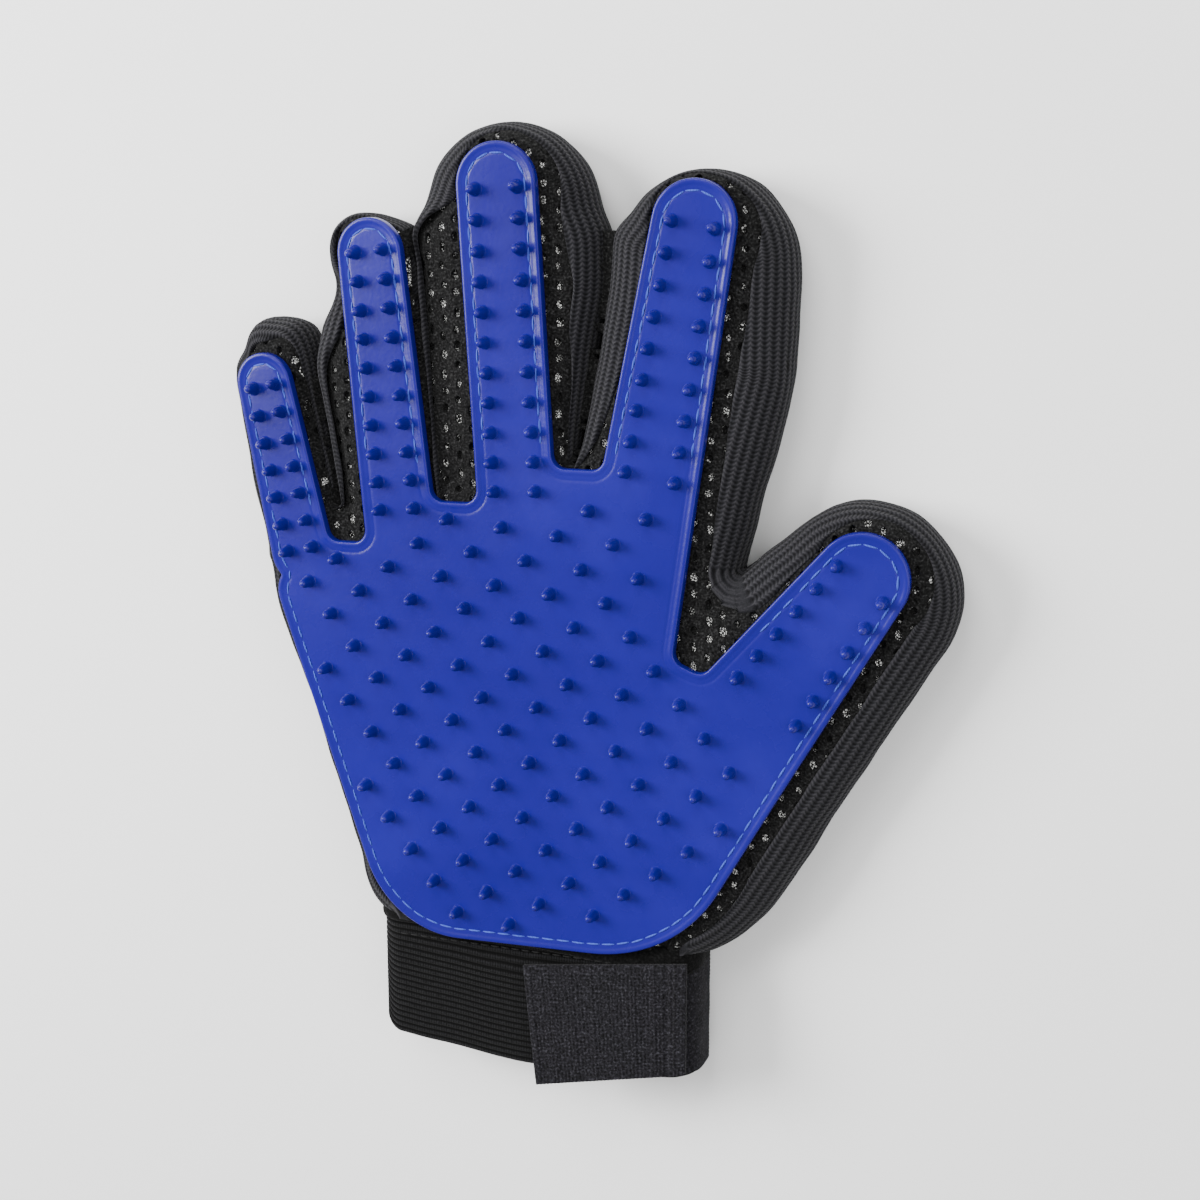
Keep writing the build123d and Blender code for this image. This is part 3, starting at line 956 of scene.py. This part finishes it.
def build_nubs():
    """Soft nubs, each leaning a little its own way."""
    places = nub_places()
    heights = lie(np.c_[places, np.full(len(places), PAD_TOP)])[:, 2]
    code = regions(places)
    turn = np.arange(NUB_SIDES) * 2 * pi / NUB_SIDES
    for value in sorted(set(code)):
        points, faces = [], []
        for place_at, height in zip(places[code == value], heights[code == value]):
            lean = random.normal(0, NUB_LEAN, 2)
            size = random.uniform(*NUB_SIZES)
            first = len(points)
            for radius, rise in NUB_PROFILE:
                x, y = place_at + lean * max(rise, 0)
                wide = size * radius
                points += [(x + wide * cos(t), y + wide * sin(t), height + rise) for t in turn]
            points.append((*(place_at + lean * NUB_HEIGHT), height + NUB_HEIGHT))
            grid = first + np.arange(len(NUB_PROFILE) * NUB_SIDES).reshape(-1, NUB_SIDES)
            faces += wound(grid)
            faces += [(a, b, len(points) - 1) for a, b in zip(grid[-1], np.roll(grid[-1], -1))]
        piece = make_mesh(f"nubs_{region_name(value)}", np.array(points), faces, SILICONE)
        attach(piece, value)


def leftwards(start, end):
    """Unit vector to the left of the way from start to end."""
    ahead = (end - start) / max(np.hypot(*(end - start)), 1e-6)
    return np.array([-ahead[1], ahead[0]])


def stitch(points, faces, start, end, height, width):
    """Adds one rounded stitch from start to end, dipping at both ends."""
    sections, sides = 7, 6
    aside = leftwards(start, end)
    first = len(points)
    for k in range(sections):
        t = k / (sections - 1)
        swell = max(sin(pi * (0.06 + 0.88 * t)), 0.05) ** 0.5
        middle = start + (end - start) * t
        for i in range(sides):
            angle = 2 * pi * i / sides
            at = middle + aside * cos(angle) * width / 2 * swell
            points.append((at[0], at[1], height - 0.22 + 0.24 * swell + sin(angle) * width / 2 * swell))
    for k in range(sections - 1):
        for i in range(sides):
            n = (i + 1) % sides
            a, b = first + k * sides, first + (k + 1) * sides
            faces.append((a + i, b + i, b + n, a + n))
    faces.append(tuple(first + i for i in range(sides)))
    last = first + (sections - 1) * sides
    faces.append(tuple(last + i for i in reversed(range(sides))))


STITCH_PITCH, STITCH_LENGTH, STITCH_WIDTH = 4.0, 3.3, 0.5
PAD_SEAM_SHIFT = 0.5  # the sewing lies this far in from the CAD thread's outer edge
PAD_SEAM_DEPTH = 2.3  # the thread's outer edge lies nearer the pad's edge than this


def point_along(run, along, at):
    """The point that lies at some distance along a run of points."""
    return np.array([np.interp(at, along, run[:, 0]), np.interp(at, along, run[:, 1])])


def build_pad_stitches(loop):
    """Stitches along the outer edge of each CAD thread, moved in from the pad's edge."""
    sewn = {}
    for node in nodes_of("thread"):
        for run in chains(joint_edges(node, PAD_TOP)):
            depth = signed_distance(run, loop)
            if len(run) < 2 or np.median(depth) > PAD_SEAM_DEPTH:
                continue
            along = np.r_[0, np.cumsum(np.hypot(*np.diff(run, axis=0).T))]
            for at in np.arange(0.35, along[-1] - 1.2, STITCH_PITCH):
                pair = [
                    point_along(run, along, min(at + further, along[-1] - 0.1))
                    for further in (0, STITCH_LENGTH)
                ]
                aside = leftwards(*pair)
                middle = (pair[0] + pair[1]) / 2
                sides = signed_distance(np.array([middle + aside, middle - aside]), loop)
                inwards = aside if sides[0] > sides[1] else -aside
                pair = [p + inwards * (PAD_SEAM_SHIFT + random.normal(0, 0.06)) for p in pair]
                value = int(regions(middle[None])[0])
                points, faces = sewn.setdefault(value, ([], []))
                stitch(points, faces, *pair, PAD_TOP, STITCH_WIDTH)
    for value, (points, faces) in sorted(sewn.items()):
        piece = make_mesh(f"stitches_{region_name(value)}", lie(np.array(points)), faces, PAD_THREAD)
        attach(piece, value)
        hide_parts(f"{cad_segment(value)}_thread")


# Wrist: elastic band, hem, loop patch and hook tab


BAND_POINTS = 150  # roughly how many points go round the band
BAND_CORNER = 6.0


def band_ring(low, high, corner):
    """Points round a rounded rectangle in X and Z, with outward normals."""
    (left, floor), (right, top) = low, high
    left, right, floor, top = left + corner, right - corner, floor + corner, top - corner
    centres = ((right, top, 0), (left, top, pi / 2), (left, floor, pi), (right, floor, 1.5 * pi))
    loop = np.array([
        (x + corner * cos(t), z + corner * sin(t))
        for x, z, turn in centres
        for t in np.linspace(turn, turn + pi / 2, 9)
    ])
    ring, inward, _ = evened(loop, (right - left + 2 * corner) * 2.4 / BAND_POINTS, 12.0, 0.8)
    return ring, -inward


ELASTIC_RIB, ELASTIC_RELIEF = 1.5, 0.42
ELASTIC_THICKNESS = 1.4
ELASTIC_SLOPE = (38.0, 3.6)  # the front's ribs drop this far over this width, then rise again
ELASTIC_SHORT = 4.6  # and end this far above the CAD band's lower edge at the left


def elastic_drop(x, low, high):
    """How far the band's ribs have dropped at x."""
    fall = min(1.0, (x - low.x) / ELASTIC_SLOPE[0])
    rise = max(0.0, (x - low.x - ELASTIC_SLOPE[0]) / (high.x - low.x - ELASTIC_SLOPE[0]))
    return ELASTIC_SLOPE[1] * (fall - 0.75 * rise**2)


def build_elastic():
    """Wrist band: ribs that run round it, outside and inside."""
    low, high = (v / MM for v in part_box("wrist_elastic"))
    ring, out = band_ring((low.x, low.z), (high.x, high.z), BAND_CORNER)
    around_it = np.r_[0, np.cumsum(np.hypot(*np.diff(ring, axis=0).T))]
    length = high.y - low.y - ELASTIC_SHORT
    rows = int(length / (ELASTIC_RIB / 7)) + 1
    points, weave = [], []
    for side, thickness in ((1, 0.0), (-1, ELASTIC_THICKNESS)):
        for k in range(rows):
            down = length * k / (rows - 1)
            rib = ELASTIC_RELIEF * abs(sin(pi * down / ELASTIC_RIB)) ** 0.6
            for (x, z), (nx, nz), around_here in zip(ring, out, around_it):
                lower = down + elastic_drop(x, low, high) * min(1.0, down / 8)
                lower += 0.18 * noise.noise(Vector((x / 7, z / 7, down / 30)))
                corner = 3.0 * max(0.0, 1 - (x - low.x) / 6.0) ** 2 * down / length
                push = -thickness + side * rib - ELASTIC_RELIEF * (side > 0)
                points.append((x + nx * push, high.y - lower + corner, z + nz * push))
                weave.append((around_here, down / ELASTIC_RIB, 0))
    points = np.array(points)
    count = len(ring)
    grid = np.arange(2 * rows * count).reshape(2, rows, count)
    faces = []
    for i in range(count):
        n = (i + 1) % count
        for k in range(rows - 1):
            faces.append((grid[0, k, i], grid[0, k, n], grid[0, k + 1, n], grid[0, k + 1, i]))
            faces.append((grid[1, k, i], grid[1, k + 1, i], grid[1, k + 1, n], grid[1, k, n]))
        faces.append((grid[0, 0, i], grid[1, 0, i], grid[1, 0, n], grid[0, 0, n]))
        faces.append((grid[0, -1, i], grid[0, -1, n], grid[1, -1, n], grid[1, -1, i]))
    piece = make_mesh("elastic", points, faces, ELASTIC, np.array(weave))
    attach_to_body(piece, "palm")
    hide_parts("wrist_elastic")


TAB_RIB = 1.05  # pitch of the webbing's ribs, and of its loops across
TAB_END_LENGTH, TAB_END_STEP = 29.5, 0.5
TAB_END_LIFTS = (0.9, 0.05)  # outer and inner side, above the band


def build_tab_end():
    """Fold of webbing round the band's thumb side, where the tab is sewn on."""
    low, high = (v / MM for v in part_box("wrist_elastic"))
    top = (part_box("hook_tab")[1] / MM).y - 1.2
    ring, out = band_ring((low.x, low.z), (high.x, high.z), BAND_CORNER)
    keep = np.flatnonzero((ring[:, 0] > high.x - 5) & (ring[:, 1] > low.z + 1.2))
    keep = keep[np.argsort(-ring[keep, 1] + 0.01 * ring[keep, 0])]
    path, normal = ring[keep], out[keep]
    rows = int(TAB_END_LENGTH / TAB_END_STEP) + 1
    points = []
    for lift in TAB_END_LIFTS:
        for down in np.arange(rows) * TAB_END_STEP:
            ribs = 0.1 * sin(2 * pi * down / TAB_RIB) if lift == TAB_END_LIFTS[0] else 0.0
            for (x, z), (nx, nz) in zip(path, normal):
                points.append((x + nx * (lift + ribs), top - down, z + nz * (lift + ribs)))
    columns = len(path)
    faces = slab_faces(np.arange(2 * rows * columns).reshape(2, rows, columns))
    piece = make_mesh("tab_end", np.array(points), faces, WEBBING)
    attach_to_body(piece, "palm")


HEM_CORNER = 7.0
HEM_SIDES = 14
HEM_WIDTHS = (1.6, 4.4)  # at the little finger's side, and how much is added by the thumb's


def build_hem():
    """Turned knit edge round the glove's mouth."""
    low, high = (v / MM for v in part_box("wrist_hem"))
    ring, out = band_ring((low.x + 0.6, low.z + 0.4), (high.x - 0.2, high.z + 0.3), HEM_CORNER)
    points = []
    for (x, z), (nx, nz) in zip(ring, out):
        share = np.clip((x - low.x) / (high.x - low.x) * 1.6 - 0.3, 0, 1)
        length = HEM_WIDTHS[0] + HEM_WIDTHS[1] * share
        for k in range(HEM_SIDES):
            t = 2 * pi * k / HEM_SIDES
            push = 0.75 * cos(t) - 0.5
            along = high.y + 1.4 - length / 2 - (length / 2 + 0.6) * sin(t)
            lump = 0.25 * noise.noise(Vector((x / 4, z / 4, t)))
            points.append((x + nx * (push + lump), along, max(z + nz * (push + lump), 0.1)))
    grid = np.arange(len(ring) * HEM_SIDES).reshape(-1, HEM_SIDES)
    faces = wound(np.vstack([grid, grid[:1]]))
    piece = make_mesh("hem", np.array(points), faces, HEM)
    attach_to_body(piece, "palm")
    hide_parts("wrist_hem")


def quad_corners(node):
    """The four plan corners of a CAD node shaped as a leaning rectangle."""
    plan = cad_points(node)[:, :2]
    return [plan[(plan @ np.array(way)).argmax()] for way in ((-1, 1), (1, 1), (1, -1), (-1, -1))]


def woven_slab(name, node, step, relief, material, body, bottom_relief=None):
    """Thin slab over a CAD node's plan, with relief(across, down, width, height) on top."""
    a, b, c, d = quad_corners(node)
    low, high = (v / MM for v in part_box(node))
    wide, tall = np.hypot(*(b - a)), np.hypot(*(d - a))
    columns, rows = int(wide / step) + 1, int(tall / step) + 1
    u, v = np.meshgrid(np.linspace(0, 1, columns), np.linspace(0, 1, rows))
    u, v = u.ravel()[:, None], v.ravel()[:, None]
    plan = (a * (1 - u) + b * u) * (1 - v) + (d * (1 - u) + c * u) * v
    at = u[:, 0] * wide, v[:, 0] * tall
    top = high.z + relief(*at, wide, tall)
    under = low.z - (bottom_relief(*at, wide, tall) if bottom_relief else 0)
    points = np.vstack([np.c_[plan, top], np.c_[plan, np.broadcast_to(under, len(plan))]])
    faces = slab_faces(np.arange(2 * rows * columns).reshape(2, rows, columns))
    piece = make_mesh(name, points, faces, material)
    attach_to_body(piece, body)
    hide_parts(node)


SELVEDGE = 1.5
TAB_LOOP = 0.95  # pitch of the webbing's loops down the tab
TAB_COLUMN = 5.6  # pitch of its broad columns
TAB_SEAM = 5.0  # how far the seam lies from its end


def tab_relief(x, y, wide, tall):
    """Woven grid of hook loops, ribbed selvedges and the dip of the seam at its end."""
    edge = np.minimum(y, tall - y)
    loops = 0.4 * (np.abs(np.sin(pi * x / TAB_RIB)) * np.abs(np.sin(pi * y / TAB_LOOP))) ** 0.7
    columns = 0.14 * (np.sin(2 * pi * x / TAB_COLUMN) > 0.8)
    scatter = 0.05 * random.uniform(-1, 1, len(x))
    ribs = 0.26 * np.abs(np.sin(pi * x / TAB_RIB)) - 0.18
    seam = -0.4 * np.exp(-(((x - wide + TAB_SEAM) / 0.35) ** 2))
    return np.where(edge < SELVEDGE, ribs, loops + columns + scatter - 0.1) + seam


def pile_relief(x, *_):
    """Pile of hooks or loops; it has the same height all over."""
    return 0.1 * random.uniform(0, 1, len(x))


def sewn_run(name, node, body, pitch, length, width, material):
    """Stitches along the middle of a straight CAD thread."""
    low, high = (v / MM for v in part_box(node))
    wide, tall = high.x - low.x, high.y - low.y
    upright = tall > wide
    start = np.array([(low.x + high.x) / 2, low.y] if upright else [low.x, (low.y + high.y) / 2])
    ahead = np.array([0.0, 1.0] if upright else [1.0, 0.0])
    total = max(tall, wide)
    points, faces = [], []
    for at in np.arange(0, total - length, pitch):
        stitch(points, faces, start + ahead * at, start + ahead * (at + length), low.z + 0.15, width)
    piece = make_mesh(name, np.array(points), faces, material)
    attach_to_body(piece, body)
    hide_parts(node)


LOOP_STITCH = (2.6, 2.0, 0.35)  # pitch, length and width


def build_loop_stitches():
    """Stitches round the loop patch."""
    low, high = (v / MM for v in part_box("loop_thread"))
    corners = [(low.x, low.y), (high.x, low.y), (high.x, high.y), (low.x, high.y)]
    pitch, length, width = LOOP_STITCH
    points, faces = [], []
    for a, b in zip(corners, corners[1:] + corners[:1]):
        a, b = np.array(a), np.array(b)
        total = np.hypot(*(b - a))
        for at in np.arange(0.4, total - length, pitch):
            ends = (a + (b - a) * along / total for along in (at, at + length))
            stitch(points, faces, *ends, low.z, width)
    piece = make_mesh("loop_stitches", np.array(points), faces, DARK_THREAD)
    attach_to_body(piece, "palm")
    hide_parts("loop_thread")


def build_wrist():
    build_elastic()
    build_hem()
    build_tab_end()
    woven_slab("hook_tab_web", "hook_tab", 0.24, tab_relief, WEBBING, "hook_tab")
    woven_slab("hooks", "hook_face", 0.5, pile_relief, HOOKS, "hook_tab", pile_relief)
    woven_slab("loops", "loop_patch", 0.5, pile_relief, LOOP, "palm")
    sewn_run("tab_stitches", "hook_tab_thread", "hook_tab", 2.6, 2.0, 0.4, DARK_THREAD)
    sewn_run("hem_stitches", "hem_thread", "palm", 2.8, 2.2, 0.4, DARK_THREAD)
    build_loop_stitches()


build_pad(pad_loop)
build_nubs()
build_pad_stitches(pad_loop)
build_knit()
build_lining(build_net())
build_wrist()


# Floor, light and camera


LAMPS = (  # name, place and width in metres, and watts
    ("key", (-0.7, 0.25, 0.6), 0.5, 20.0),
    ("fill", (0.55, 0.1, 0.75), 0.8, 6.5),
    ("top", (-0.1, 0.75, 0.8), 0.6, 8.0),
)


def build_studio():
    bpy.ops.mesh.primitive_plane_add(size=6, location=(0, 0, 0))
    floor = bpy.context.object
    floor.name = "floor"
    material = new_material("floor", (0.9, 0.9, 0.9), 0.8)[0]
    floor.data.materials.append(material)
    world = bpy.data.worlds.new("studio")
    world.use_nodes = True
    world.node_tree.nodes["Background"].inputs["Color"].default_value = (1, 1, 1, 1)
    world.node_tree.nodes["Background"].inputs["Strength"].default_value = 0.5
    bpy.context.scene.world = world
    for name, at, size, power in LAMPS:
        light = bpy.data.lights.new(name, "AREA")
        light.size = size
        light.energy = power
        lamp = bpy.data.objects.new(name, light)
        lamp.location = at
        lamp.rotation_euler = (-Vector(at)).to_track_quat("-Z", "Y").to_euler()
        bpy.context.scene.collection.objects.link(lamp)


CAMERA_LEAN = (20, 12)  # degrees to the thumb's side, and towards the fingertips
CAMERA_TARGET = (5.6, 6.0, 10.5)
CAMERA_DISTANCE = 0.4683  # in metres


def build_camera():
    """Above the palm, leaning a little to the thumb's side and to the fingertips."""
    aside, ahead = map(radians, CAMERA_LEAN)
    target = Vector(CAMERA_TARGET) * MM
    back = Vector((sin(aside) * cos(ahead), sin(ahead), cos(aside) * cos(ahead)))
    data = bpy.data.cameras.new("camera")
    data.lens, data.sensor_width = 57.6, 36
    camera = bpy.data.objects.new("camera", data)
    across = Vector((0, 1, 0)).cross(back).normalized()
    turned = Matrix((across, back.cross(across), back)).transposed().to_4x4()
    camera.matrix_world = Matrix.Translation(target + back * CAMERA_DISTANCE) @ turned
    bpy.context.scene.collection.objects.link(camera)
    bpy.context.scene.camera = camera


build_studio()
build_camera()
